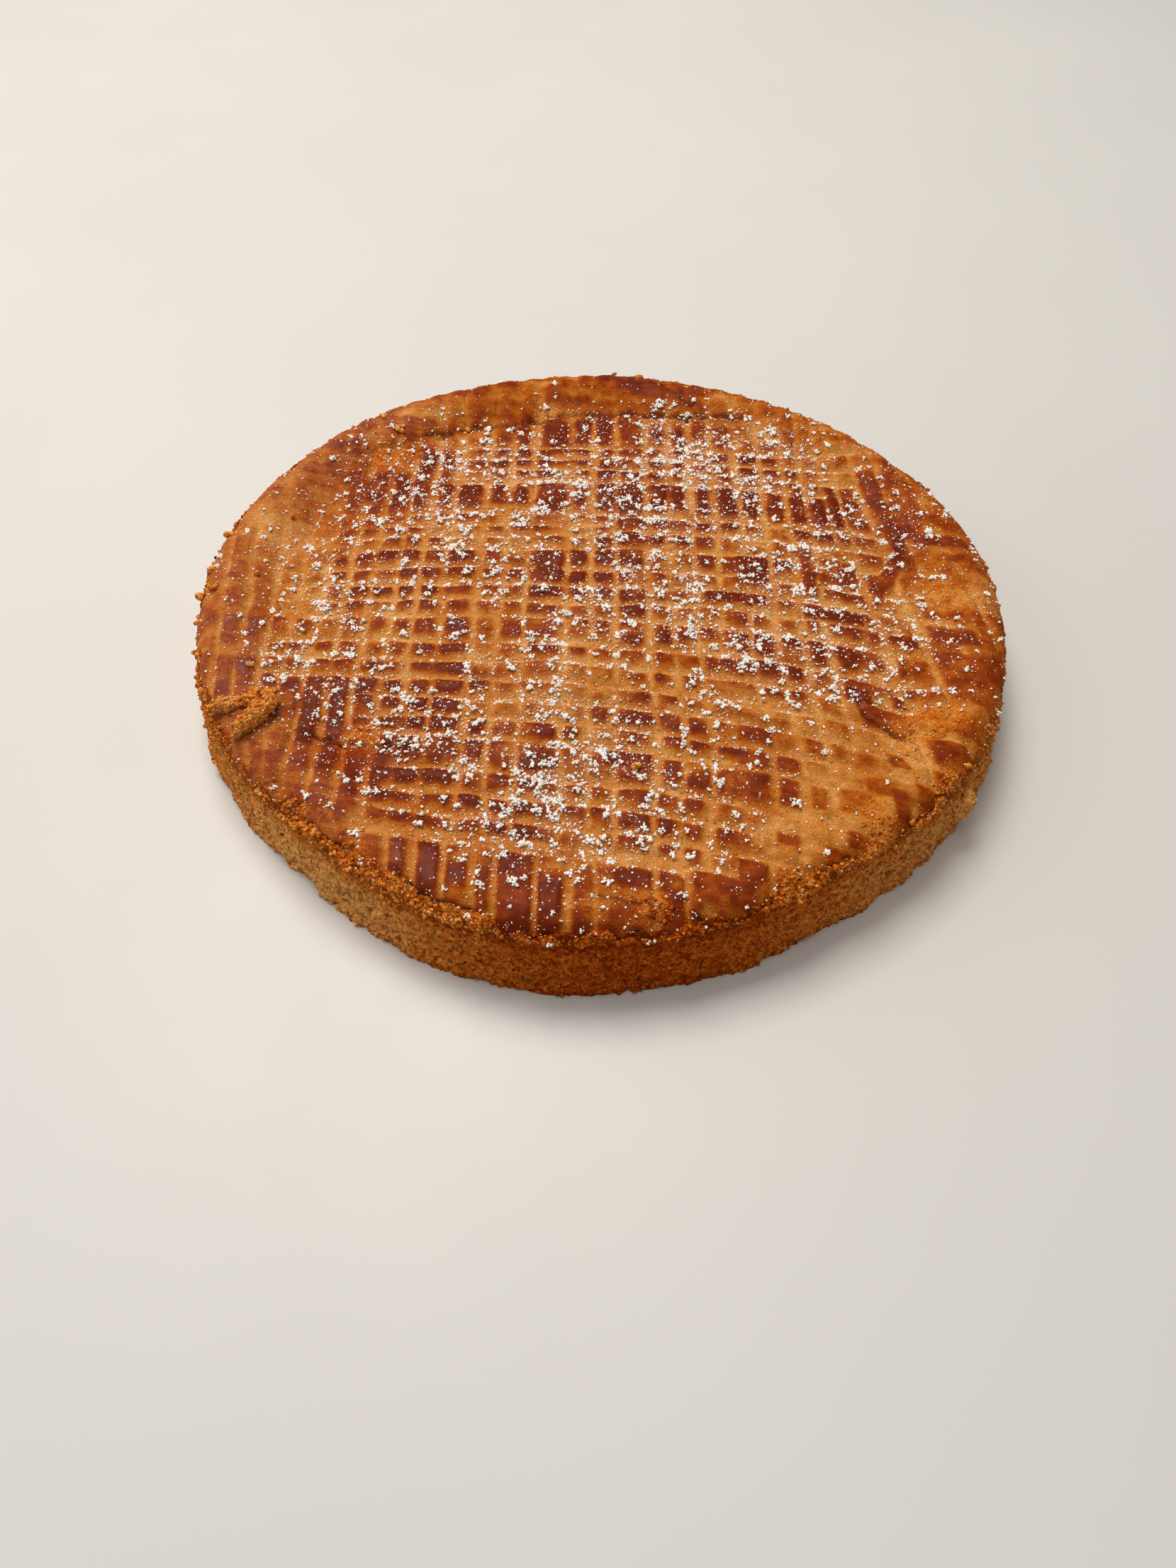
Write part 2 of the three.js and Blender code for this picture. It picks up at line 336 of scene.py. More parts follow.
def bare_top(x, y):
    """Height of the top before it is scored."""
    angle = np.arctan2(y, x)
    radius = outline(angle)
    share = np.hypot(x, y) / radius
    rim = (radius - WALL_LEAN - SHOULDER) / radius
    level = mixed(MIDDLE_HEIGHT, crest_height(angle), eased(share, MIDDLE_SHARE, rim))
    return level - valley(angle, share) + hills(SWELLS, x, y)


def facing(side, angle):
    """1 where the edge faces a side, falling to 0 over its reach."""
    off = (np.degrees(angle) - side.degrees + 180) % 360 - 180
    return np.exp(-((off / side.reach) ** 2))


def sided(sides, angle):
    return sum(side.amount * facing(side, angle) for side in sides)


def edge_points(angle):
    """Points round a circle as long as the edge, for noise that follows the edge."""
    return WIDTH / 2 * heading(angle)


def lip_turn(angle):
    """How far over the shoulder the crust reaches before its ragged lip, in radians."""
    return np.radians(LIP_TURN + layered(edge_points(angle), LIP_RAGGED))


# The fork marks


def fork_place(x, y):
    """Place of a point among the strokes along and the strokes across, both of which swing a little."""
    along, across = x, y
    for _ in range(CROSSING_ROUNDS):
        right = LEAN_RIGHT * eased(along, *LEAN_RIGHT_FROM)
        left = LEAN_LEFT * eased(along, *LEAN_LEFT_FROM)
        swing = eased(across, *SWING_FROM)
        droop = mixed(DROOP_BACK, DROOP_FRONT, swing)
        bend = BEND * eased(along, *BEND_ALONG) * np.exp(-(((across - BEND_ACROSS) / BEND_REACH) ** 2))
        along = x - (right + left) * y - bend
        across = y - TILT * swing**2 * x + droop * np.maximum(x, 0) ** 2
    return along, across


def fork_marks(passes, side, run, half, firmness, seed, skew=0.0):
    """How strongly a set of strokes marks each point: 1 in a groove.

    Side goes across the strokes and run goes along them. Firmness has a stroke's mean strength and how much
    it varies. With a skew a groove is wider on its further side.
    """
    marks = np.zeros(len(side))
    line = run[:, None]
    strokes = [(each, each.first + tine * each.pitch) for each in passes for tine in range(each.tines)]
    for number, (each, place) in enumerate(strokes, seed):
        reach = half * (1 + layered(line, STROKE_WIDTH, number))
        ends = eased(run, each.start - STROKE_FADE, each.start + STROKE_FADE)
        ends = ends * (1 - eased(run, each.end - STROKE_FADE, each.end + STROKE_FADE))
        varied = noise(line, FIRMNESS_LENGTH, FIRMNESS_SEED + number)
        firm = np.clip(firmness[0] + firmness[1] * varied, 0, 1)
        gap = side - place - layered(line, STROKE_WANDER, number)
        gap = np.where(gap > 0, gap / (1 + skew), -gap / (1 - skew))
        groove = 1 - eased(gap, GROOVE_FLOOR * reach, GROOVE_EDGE * reach)
        marks = np.maximum(marks, ends * firm * groove)
    return marks


def front_marks(along, across):
    """Marks over the front of the rim, the gutter behind them, and how far each point is in that press."""
    beside = eased(along, *FRONT_LEFT) * (1 - eased(along, *FRONT_RIGHT))
    inside = (1 - eased(across, *FRONT_EDGE)) * beside
    marks = np.zeros(len(along))
    for place, half in FRONT_STROKES:
        wander = layered(across[:, None], FRONT_WANDER, int(place))
        marks = np.maximum(marks, 1 - eased(np.abs(along - place - wander), FRONT_FLOOR * half, half))
    gutter = 1 - eased(np.abs(across - GUTTER_AT), GUTTER_FLOOR * GUTTER_HALF, GUTTER_HALF)
    return marks, beside * gutter, inside


def island_cover(along, across, rough):
    """1 on the glazed patches that the fork left whole."""
    cover = np.zeros(len(along))
    for island in ISLANDS:
        beside = np.maximum(island.left - along, along - island.right)
        beyond = np.maximum(island.front - across, across - island.back)
        outside = np.maximum(beside, beyond) + rough
        cover = np.maximum(cover, island.amount * (1 - eased(outside, -ISLAND_FADE, ISLAND_FADE)))
    return cover


def line_distance(points, x, y):
    """Distance from each place to a line through some points."""
    nearest = np.full(len(x), FAR)
    for (ax, ay), (bx, by) in zip(points, points[1:]):
        length = (bx - ax) ** 2 + (by - ay) ** 2
        share = np.clip(((x - ax) * (bx - ax) + (y - ay) * (by - ay)) / length, 0, 1)
        nearest = np.minimum(nearest, np.hypot(x - mixed(ax, bx, share), y - mixed(ay, by, share)))
    return nearest


# Meshes


def disc_faces(rings):
    """Triangles between concentric rings, each with six points more than the one inside it."""
    faces = []
    starts = np.concatenate([[0], 1 + 3 * np.arange(rings + 1) * np.arange(1, rings + 2)])
    for ring in range(rings):
        inner_count, outer_count = max(6 * ring, 1), 6 * (ring + 1)
        inner_start, outer_start = starts[ring], starts[ring + 1]
        outer = np.arange(outer_count)
        inner = (outer // (ring + 1) * ring + outer % (ring + 1)) % inner_count
        fans = [inner_start + inner, outer_start + outer, outer_start + (outer + 1) % outer_count]
        faces.append(np.stack(fans, axis=1))
        if ring:
            inner = np.arange(inner_count)
            outer = (inner // ring * (ring + 1) + inner % ring + 1) % outer_count
            gaps = [inner_start + inner, outer_start + outer, inner_start + (inner + 1) % inner_count]
            faces.append(np.stack(gaps, axis=1))
    return np.concatenate(faces)


def band_faces(lower, upper):
    """Triangles between two rings of as many points, facing outwards when the rings run anticlockwise."""
    lower_next, upper_next = np.roll(lower, -1), np.roll(upper, -1)
    first = np.stack([lower, lower_next, upper_next], axis=1)
    second = np.stack([lower, upper_next, upper], axis=1)
    return np.concatenate([first, second])


def fan_faces(ring, middle):
    """Triangles from a ring to one point, facing along the ring's turn."""
    return np.stack([ring, np.roll(ring, -1), np.full(len(ring), middle)], axis=1)


def added(name, data):
    """A new object in the scene."""
    thing = bpy.data.objects.new(name, data)
    bpy.context.scene.collection.objects.link(thing)
    return thing


def mesh_piece(name, points, faces, material, slot=None, **masks):
    """A piece of the cake from points in millimetres, with a number from each mask at each point."""
    mesh = bpy.data.meshes.new(name)
    mesh.from_pydata((points - MIDDLE) * MM, [], faces)
    mesh.shade_smooth()
    for mask, values in masks.items():
        mesh.attributes.new(mask, "FLOAT", "POINT").data.foreach_set("value", values.astype(np.float32))
    mesh.materials.append(material)
    piece = added(name, mesh)
    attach(piece, "root")
    return piece


def padded(masks, count):
    """Masks with as many more values as there are hidden points, all like the last one."""
    return {name: np.append(values, np.repeat(values[-1:], count)) for name, values in masks.items()}


# Materials


def colour(code):
    """A colour code such as c08a4b as linear red, green and blue with full opacity."""
    parts = [int(code[i : i + 2], 16) / 255 for i in (0, 2, 4)]
    linear = [part / 12.92 if part <= 0.04045 else ((part + 0.055) / 1.055) ** 2.4 for part in parts]
    return (*linear, 1.0)


CRUST_TONES = ((0.0, "d79c58"), (0.25, "c27b34"), (0.5, "ae5a15"), (0.75, "8d3709"), (1.0, "672003"))
CRUMB_TONES = ((0.0, "f9b566"), (0.3, "e08027"), (0.6, "b84c06"), (1.0, "7d1f00"))
SUGAR_TONES = ((0.3, "f8efe6"), (0.65, "fffcf7"))
FLOOR_TONES = ((0.3, "d3d1cd"), (0.7, "d9d7d3"))
# painted shade in the pores of the matt crust
PIT_SHADE_COLOUR = colour("6a3010")
# painted shade in the crust's cracks, creases, split, gaps between grains and pores
CRACK_SHADE_COLOUR = colour("4a1a08")
# painted shade in the crumb's gaps and pits
HOLLOW_SHADE_COLOUR = colour("681a00")
DUST_COLOUR = colour("f3e6da")
MIX_INPUTS, MIX_OUTPUT = (0, 6, 7), 2  # sockets of a mix node: share and two colours, and result


class Shader:
    """A material built node by node on the piece's own coordinates."""

    def __init__(self, name, **settings):
        self.material = bpy.data.materials.new(name)
        self.material.use_nodes = True
        self.nodes = self.material.node_tree.nodes
        self.links = self.material.node_tree.links
        self.surface = self.nodes["Principled BSDF"]
        self.place = self.nodes.new("ShaderNodeTexCoord").outputs["Object"]
        self.set(self.surface, **settings)

    def feed(self, socket, value):
        """Gives a socket a value or a link."""
        if isinstance(value, bpy.types.NodeSocket):
            self.links.new(value, socket)
        else:
            socket.default_value = value

    def set(self, node, **inputs):
        """Feeds a node's sockets, named with _ for each space."""
        for name, value in inputs.items():
            self.feed(node.inputs[name.replace("_", " ")], value)

    def mask(self, name):
        node = self.nodes.new("ShaderNodeAttribute")
        node.attribute_name = name
        return node.outputs["Fac"]

    def noise(self, size, detail=3.0, roughness=0.55, stretch=None):
        """Noise whose lumps have this size in millimetres, longer along each axis by a stretch."""
        node = self.nodes.new("ShaderNodeTexNoise")
        place = self.place
        if stretch:
            mapping = self.nodes.new("ShaderNodeMapping")
            self.set(mapping, Vector=place, Scale=[1 / each for each in stretch])
            place = mapping.outputs[0]
        self.set(node, Vector=place, Scale=1 / (size * MM), Detail=detail, Roughness=roughness)
        return node.outputs[0]

    def cells(self, size):
        """Grains about a size apart: the distance from a grain's middle, and a tone of each grain's own."""
        node = self.nodes.new("ShaderNodeTexVoronoi")
        self.set(node, Vector=self.place, Scale=1 / (size * MM))
        return node.outputs["Distance"], node.outputs["Color"]

    def math(self, operation, first, second):
        node = self.nodes.new("ShaderNodeMath")
        node.operation = operation
        self.feed(node.inputs[0], first)
        self.feed(node.inputs[1], second)
        return node.outputs[0]

    def plus(self, first, second):
        return self.math("ADD", first, second)

    def less(self, first, second):
        return self.math("SUBTRACT", first, second)

    def times(self, first, second):
        return self.math("MULTIPLY", first, second)

    def varied(self, tone, value, height):
        """A tone made lighter and darker by a value round a half, with this height."""
        return self.plus(tone, self.times(self.less(value, 0.5), height))

    def range(self, value, start, end, low=0.0, high=1.0):
        """A value from start to end turned into one from low to high, and held there."""
        node = self.nodes.new("ShaderNodeMapRange")
        self.set(node, Value=value, From_Min=start, From_Max=end, To_Min=low, To_Max=high)
        return node.outputs[0]

    def ramp(self, value, stops):
        """A colour from a value by stops of place and colour code."""
        node = self.nodes.new("ShaderNodeValToRGB")
        elements = node.color_ramp.elements
        for i, (place, code) in enumerate(stops):
            element = elements[i] if i < 2 else elements.new(place)
            element.position = place
            element.color = colour(code)
        self.links.new(value, node.inputs["Fac"])
        return node.outputs["Color"]

    def mix(self, share, low, high):
        node = self.nodes.new("ShaderNodeMix")
        node.data_type = "RGBA"
        for number, value in zip(MIX_INPUTS, (share, low, high)):
            self.feed(node.inputs[number], value)
        return node.outputs[MIX_OUTPUT]

    def bump(self, height, depth):
        """A normal from a height of 0 to 1 that stands for a depth in millimetres."""
        node = self.nodes.new("ShaderNodeBump")
        self.set(node, Height=height, Distance=depth * MM)
        return node.outputs["Normal"]


def crust_colour(shader, matt, crumbly, own, pit):
    """The crust's brown, which is mottled and granular, with painted shade in its pits and cracks and a
    veil of sugar.
    """
    tone = shader.varied(shader.mask("brown"), shader.noise(1.6, detail=4.0), 0.25)
    tone = shader.varied(tone, shader.noise(0.45, detail=2.0), shader.times(matt, 0.8))
    tone = shader.varied(tone, own, shader.times(crumbly, 0.4))
    crumb = shader.ramp(tone, CRUMB_TONES)
    baked = shader.mix(shader.times(crumbly, 0.6), shader.ramp(tone, CRUST_TONES), crumb)
    # painted shade in the pores
    baked = shader.mix(shader.times(pit, 0.55), baked, PIT_SHADE_COLOUR)
    # painted shade in the cracks, creases, split, gaps between grains and pores
    baked = shader.mix(shader.mask("cracked"), baked, CRACK_SHADE_COLOUR)
    veil = shader.times(shader.range(shader.noise(0.4, detail=2.0), 0.45, 0.75), shader.mask("dusted"))
    return shader.mix(shader.times(veil, matt), baked, DUST_COLOUR)


def crust_material():
    """Baked pastry: pale and granular in the grooves, dark and glossy where the egg wash was left."""
    shader = Shader("crust")
    glaze, crumbly = shader.mask("glaze"), shader.mask("crumbly")
    matt = shader.less(1.0, glaze)
    apart, own = shader.cells(0.75)
    pores = shader.noise(0.8, detail=2.0, roughness=0.5, stretch=(1.5, 1, 1))
    pit = shader.times(shader.range(pores, 0.65, 0.73), matt)
    height = shader.times(shader.noise(0.55, detail=2.0), shader.range(matt, 0.0, 1.0, low=0.3))
    height = shader.less(height, shader.times(pit, 0.7))
    height = shader.less(height, shader.times(shader.times(apart, 1.6), crumbly))
    shader.set(
        shader.surface,
        Base_Color=crust_colour(shader, matt, crumbly, own, pit),
        Roughness=shader.range(glaze, 0.0, 1.0, low=0.8, high=0.4),
        Specular_IOR_Level=shader.mask("shine"),
        Normal=shader.bump(height, depth=0.3),
    )
    return shader.material


def crumb_material():
    """Broken crumb: gold grains of many tones, browner where its toast mask is high, which is partly
    painted shade at the front of the wall, and with painted shade in the gaps and pits.
    """
    shader = Shader("crumb", Specular_IOR_Level=0.04, Roughness=0.8)
    apart, own = shader.cells(0.8)
    tone = shader.varied(shader.mask("toast"), shader.noise(2.2, detail=4.0), 0.6)
    tone = shader.varied(tone, shader.noise(0.7, detail=2.0), 0.7)
    tone = shader.varied(tone, own, 0.25)
    pit = shader.range(shader.noise(1.1), 0.55, 0.66)
    # painted shade in the gaps between grains and in the pits
    hollow_shade = shader.math("MAXIMUM", shader.times(shader.mask("gap"), 0.75), shader.times(pit, 0.45))
    crumb = shader.mix(hollow_shade, shader.ramp(tone, CRUMB_TONES), HOLLOW_SHADE_COLOUR)
    height = shader.less(shader.times(shader.noise(0.5), 0.5), apart)
    height = shader.less(height, shader.times(pit, 0.6))
    shader.set(shader.surface, Base_Color=crumb, Normal=shader.bump(height, depth=0.55))
    return shader.material


def sugar_material():
    """Icing sugar: matt white, with a little grey in its folds."""
    shader = Shader("sugar", Specular_IOR_Level=0.2, Roughness=0.95)
    powder = shader.ramp(shader.noise(0.5), SUGAR_TONES)
    folds = shader.bump(shader.noise(0.25, detail=2.0), depth=0.12)
    shader.set(shader.surface, Base_Color=powder, Normal=folds)
    return shader.material


# Where icing sugar lies: drifts with more of it, and bare places
SUGAR_DRIFTS = rows(
    Spot,
    (25, 74, 20, 1.2), (-48, 52, 18, 1.2), (20, 45, 42, 0.3), (-16, -74, 26, 1.1), (45, -12, 25, 0.5),
    (2, 25, 15, 0.8), (56, 74, 14, 1.3),
)
SUGAR_BARE = rows(
    Spot,
    (72, -75, 42, 0.95), (-45, 100, 28, 0.98), (0, 108, 26, 0.98), (45, 106, 22, 0.8),
    (-100, -70, 24, 0.5), (-45, -20, 22, 0.4), (-75, 25, 14, 0.5), (12, -25, 16, 0.5),
    (85, 25, 12, 0.5), (28, -78, 12, 0.5), (-78, 52, 13, 0.4), (-50, 4, 13, 0.45), (78, -2, 13, 0.45),
    (4, -42, 13, 0.45),
)
SUGAR_PATCHES = (Layer(0.9, 9, 91), Layer(0.5, 3, 92))
SUGAR_LEAST, SUGAR_MOST = 0.1, 3
SUGAR_REACH = (0.66, 0.97)  # the dusting thins out between these shares of the radius
SUGAR_AT_EDGE = 0.16


def sugar_density(points):
    """How thickly the sugar lies on the crust."""
    x, y, _ = points.T
    share = np.hypot(x, y) / outline(bearing(points))
    density = 1 + hills(SUGAR_DRIFTS, x, y)
    density = density * np.prod([1 - spot.amount * hill(spot, x, y) for spot in SUGAR_BARE], axis=0)
    patchy = np.clip(1 + layered(points, SUGAR_PATCHES), SUGAR_LEAST, SUGAR_MOST)
    return density * patchy * mixed(1, SUGAR_AT_EDGE, eased(share, *SUGAR_REACH))


# The crust

BROAD, FINE = 9, 2.4  # sizes of the crust's unevenness
GRAIN, PORE = 1.5, 1.0  # sizes of its grains where it broke up, and of its pores
STREAK, WRINKLE = (9, 0.9), (13, 2.2)  # lengths and widths of drag marks and of wrinkles
BROAD_RISE, FINE_RISE = 0.25, 0.14
STREAK_RISE, WRINKLE_RISE, PORE_RISE = 0.1, -0.15, 0.28
GRAIN_RISE = (0.4, 1.0)  # on the top and at the lip
LUMP_RISE = 1.1
SPLIT_DEPTH, CRAZE_DEPTH = 0.9, 0.5

# Patches where the egg wash baked paler or darker, and where it ran together on the rim at the back
PALE = rows(
    Spot,
    (-88, 45, 24, 0.4), (104, 5, 20, 0.7), (86, -60, 28, 0.85), (-8, -36, 13, 0.5), (38, -36, 24, 0.35),
    (60, -84, 20, 0.7), (30, -104, 12, 0.4), (106, 45, 24, 0.5), (68, 82, 22, 0.3), (-102, 5, 30, 0.3),
    (-68, -87, 13, 0.55), (-88, -68, 9, 0.4),
)
DARK = rows(
    Spot,
    (-15, 42, 16, 0.3), (48, 14, 14, 0.25), (-30, -58, 20, 0.2), (-25, -98, 26, 0.15),
    (-46, 44, 16, 0.25), (-56, -66, 12, 0.2), (48, -66, 10, 0.2),
)
RIM_WASH = rows(
    Spot,
    (-14, 98, 8, 0.5), (0, 101, 8, 0.5), (14, 102, 8, 0.6), (28, 99, 8, 0.6), (56, 92, 8, 0.4),
)
RIM_MOTTLE = (Layer(0.5, 3.5, 48, (3, 1, 1)), Layer(0.3, 8, 53, (2, 1, 1)))
WASH_PATCHES = (Layer(0.45, 1, 41, (11, 6)), Layer(0.3, 24, 42))
WASH_FLECKS = (Layer(0.22, 3.2, 58),)
WASH_MEAN, WASH_LEAST, WASH_MOST = 0.82, 0.2, 1.15
LEFT_THINNER, SHOULDER_THINNER = 0.3, 0.3  # shares by which the wash is thinner in these places
LEFT_FROM = (-70, -92)
FAR_RIM_RADIUS, FAR_RIM_FROM = (84, 95), (55, 80)
LEFT_RIM_RADIUS, LEFT_RIM_FROM = (92, 108), (-30, -80)
WASH_RANGE = (0.03, 1.06)  # films between these go from the bare brown to the full brown of the wash
BARE_BROWN, WASH_BROWN = 0.22, 0.81
GLAZED = (0.4, 0.9)  # a film of wash turns from matt to glossy between these

# Where the pastry baked browner in its grooves too, where its skin crazed and where it broke up into crumbs
BROWNED = rows(
    Spot,
    (-80, -72, 30, 0.18), (-86, 55, 26, 0.1), (100, 50, 26, 0.04), (-20, -96, 34, 0.07),
    (-50, 44, 22, 0.08), (-50, -66, 16, 0.08), (50, -68, 14, 0.06),
)
CRAZED = rows(
    Spot,
    (-78, -76, 22, 0.8), (84, -56, 24, 0.9), (-74, 66, 14, 0.8), (22, -104, 18, 0.7), (100, 8, 14, 0.7),
    (66, -86, 16, 0.7),
)
CRUMBLY = rows(
    Spot,
    (84, -50, 8, 0.8), (97, -44, 8, 0.6), (72, -80, 8, 0.7), (102, 2, 9, 0.5), (-62, -96, 10, 0.8),
    (-82, -80, 8, 0.6), (52, -101, 8, 0.8), (14, -106, 5, 0.8), (-66, -56, 9, 0.7), (96, -66, 7, 0.8),
    (-108, -52, 8, 0.5), (-70, 66, 10, 0.6),
)

# The ragged line, by share of the way to the lip, past which the crust is all crumbs
BREAK_AT = 0.95
BREAK_SOONER = (Side(270, 30, 0.2), Side(238, 18, 0.35), Side(318, 25, 0.25))
BREAK_RAGGED = (Layer(0.2, 17, 14), Layer(0.17, 6, 15), Layer(0.09, 2.2, 16))


def crust_face():
    """Points of the crust's face, ring by ring, the way that each faces and its share of the shoulder."""
    rings = np.arange(CRUST_RINGS + 1)
    counts = np.maximum(6 * rings, 1)
    ring = np.repeat(rings, counts)
    step = np.arange(len(ring)) - np.repeat(np.cumsum(counts) - counts, counts)
    angle = 2 * np.pi * step / counts[ring]
    crest = outline(angle) - WALL_LEAN - SHOULDER
    along = ring / CRUST_RINGS * (crest + SHOULDER * lip_turn(angle))
    turn = np.maximum(along - crest, 0) / SHOULDER
    way = heading(angle)
    inner = np.minimum(along, crest)[:, None] * way
    plan = inner + (SHOULDER * np.sin(turn))[:, None] * way
    height = bare_top(*inner.T) - SHOULDER * (1 - np.cos(turn))
    points = np.column_stack([plan, height])
    ways = np.column_stack([np.sin(turn)[:, None] * way, np.cos(turn)])
    return points, ways, turn / lip_turn(angle)


class Skin:
    """The crust point by point: what the fork, the egg wash and the oven left there."""

    def __init__(self, points, over):
        self.points = points
        self.over = over  # share of the way over the shoulder to the lip
        self.x, self.y, _ = points.T
        self.radius = np.hypot(self.x, self.y)
        self.along, self.across = fork_place(self.x, self.y)
        self.strokes = np.column_stack([self.along, self.across])
        self.broad, self.fine = fractal(points, BROAD, 21), fractal(points, FINE, 24)
        self.grain, self.pore = grains(points, GRAIN, 51), grains(points, PORE, 54)
        self.marks_along, self.marks_across, self.whole = self.scored()
        self.marks = np.maximum(ALONG_DEPTH * self.marks_along, self.marks_across)
        self.streaks, self.wrinkles = self.dragged()
        self.crumbly, self.split = self.broken()
        self.crack_depth, self.crack_shade = self.cracks()
        self.film = self.washed()
        self.glaze = eased(self.film, *GLAZED)

    def hills(self, spots):
        return hills(spots, self.x, self.y)

    def scored(self):
        """How deep the strokes along and the strokes across went, and the patches left whole."""
        half = ALONG_HALF * (1 + ALONG_WIDER * eased(self.y, *ALONG_WIDER_FROM))
        along = fork_marks(PASSES_ALONG, self.along, self.y, half, ALONG_FIRMNESS, ALONG_SEED)
        across = fork_marks(
            PASSES_ACROSS, self.across, self.x, ACROSS_HALF, ACROSS_FIRMNESS, ACROSS_SEED, ACROSS_SKEW
        )
        front, gutter, inside = front_marks(self.along, self.across)
        along = mixed(along, front, inside)
        across = np.maximum(across * (1 - inside), gutter)
        smear = line_distance(SMEAR.points, self.along + self.fine, self.across)
        smeared = SMEAR.dark * (1 - eased(smear, 0.5 * SMEAR.half, SMEAR.half))
        whole = np.maximum(island_cover(self.along, self.across, ISLAND_RAGGED * self.fine), smeared)
        missed = [1 - UNSCORED_SHARE * hill(spot, self.x, self.y) for spot in UNSCORED]
        touched = np.prod(missed, axis=0) * (1 - whole)
        return along * touched, across * touched, whole

    def dragged(self):
        """The fork's drag marks, and the wrinkles of the pastry beside them."""
        streaks = noise(self.strokes / STREAK, 1, 43)
        streaks = streaks + 0.7 * noise(self.strokes / STREAK[::-1], 1, 44) * self.marks_along
        wrinkles = eased(1 - np.abs(noise(self.strokes / WRINKLE, 1, 46)), 0.9, 1.0)
        return streaks, wrinkles

    def broken(self):
        """How far the crust broke up into crumbs, and the split along the line where it did."""
        angle = bearing(self.points)
        line = BREAK_AT - sided(BREAK_SOONER, angle) + layered(edge_points(angle), BREAK_RAGGED)
        past = (self.over - line) * SHOULDER * lip_turn(angle) + 0.4 * self.fine
        patches = self.hills(CRUMBLY)
        crumbly = np.clip(patches + 0.5 * self.broad, 0, 1) * eased(patches, 0.1, 0.5)
        crumbly = np.maximum(crumbly, eased(past, -0.3, 0.7))
        split = (1 - eased(np.abs(past), 0.15, 0.75)) * eased(noise(self.points, 12, 47), -0.3, 0)
        return crumbly, split

    def cracks(self):
        """Depth of the cracks, the creases and the crazed skin, and how dark the painted shade in them is.
        """
        depth, dark = np.zeros(len(self.x)), np.zeros(len(self.x))
        for line in LINES:
            gap = line_distance(line.points, self.x + 1.2 * self.fine, self.y - 1.2 * self.fine)
            inside = 1 - eased(gap, 0.3 * line.half, 1.5 * line.half)
            depth = np.maximum(depth, line.depth * inside)
            dark = np.maximum(dark, line.dark * inside)
        veins = np.abs(noise(self.points + 1.5 * self.fine[:, None], 6, 56))
        crazed = np.clip(self.hills(CRAZED), 0, 1) * (1 - eased(veins, 0.01, 0.07))
        crazed = crazed * eased(noise(self.points, 9, 57), -0.2, 0.3)
        return np.maximum(depth, CRAZE_DEPTH * crazed), np.maximum(dark, 0.75 * crazed)

    def washed(self):
        """How thick the egg wash lies: patchy where the fork left it, and mottled on the far rim."""
        patchy = np.clip(WASH_MEAN + layered(self.strokes, WASH_PATCHES), WASH_LEAST, WASH_MOST)
        film = (1 - self.marks_along) * (1 - self.marks_across) * patchy
        film = film * (1 + layered(self.points, WASH_FLECKS))
        film = film * (1 - np.clip(self.hills(PALE), 0, 0.9)) * (1 + self.hills(DARK))
        film = film * (1 - LEFT_THINNER * eased(self.x, *LEFT_FROM))
        far_rim = eased(self.radius, *FAR_RIM_RADIUS) * eased(self.y, *FAR_RIM_FROM)
        mottled = np.clip(0.4 + layered(self.points, RIM_MOTTLE) + self.hills(RIM_WASH), 0, 1.3)
        film = mixed(film, 0.3 * film + 0.5 * mottled, far_rim)
        film = np.maximum(film, 0.95 * self.whole) + 0.08 * self.fine
        worn = SHOULDER_THINNER * eased(self.over, 0.0, 0.7) * (1 + noise(self.points, 3.5, 45))
        return film * (1 - self.crumbly) * (1 - worn)

    def relief(self):
        """How far each point stands out."""
        matt = 1 - self.glaze
        scored = SCORE_DEPTH * self.marks * (1 - 0.7 * eased(self.over, 0.5, 1.0))
        uneven = BROAD_RISE * self.broad + FINE_RISE * self.fine
        granular = STREAK_RISE * self.streaks + WRINKLE_RISE * self.wrinkles
        granular = granular + PORE_RISE * (self.pore - 0.5)
        cracked = np.maximum(self.crack_depth, SPLIT_DEPTH * self.split)
        loose = eased(self.over, 0, 0.5)
        lumpy = mixed(*GRAIN_RISE, loose) * (self.grain - 0.6)
        lumpy = lumpy + LUMP_RISE * loose * noise(self.points, 3.5, 50)
        return uneven + matt * granular + self.crumbly * lumpy - scored - cracked

    def brown(self):
        """How brown each point is: most where the wash lies thick."""
        matt = 1 - self.glaze
        baked = BARE_BROWN + WASH_BROWN * eased(self.film, *WASH_RANGE)
        mottle = 0.1 * self.broad + 0.1 * noise(self.points, 4, 49) + 0.07 * self.fine
        dragged = 0.08 * self.streaks + 0.1 * self.wrinkles
        edge = 0.12 * eased(self.over, 0.0, 0.6)
        return baked + mottle + dragged + 0.12 * self.crumbly + matt * (self.hills(BROWNED) + edge)

    def dark(self):
        """Painted shade: how dark the cracks, the split, the gaps between grains and the pores are made."""
        gaps = 0.65 * self.crumbly * (1 - eased(self.grain, 0.1, 0.55))
        pores = 0.3 * self.marks * (1 - eased(self.pore, 0.0, 0.35))
        return np.max([self.crack_shade, 0.85 * self.split, gaps, pores], axis=0)

    def shine(self):
        """How much each point mirrors: most on the whole skin of the rim at the left."""
        left_rim = eased(self.radius, *LEFT_RIM_RADIUS) * eased(self.x, *LEFT_RIM_FROM)
        return 0.02 + 0.05 * self.glaze + 0.22 * left_rim * (1 - self.crumbly)

    def masks(self):
        """What the material is told of each point."""
        return {
            "brown": self.brown(),
            "glaze": self.glaze,
            # cracked: painted shade in the cracks, creases, split, gaps between grains and pores
            "cracked": self.dark(),
            "crumbly": self.crumbly,
            "dusted": np.clip(0.07 * sugar_density(self.points), 0, 0.18),
            "shine": self.shine(),
        }


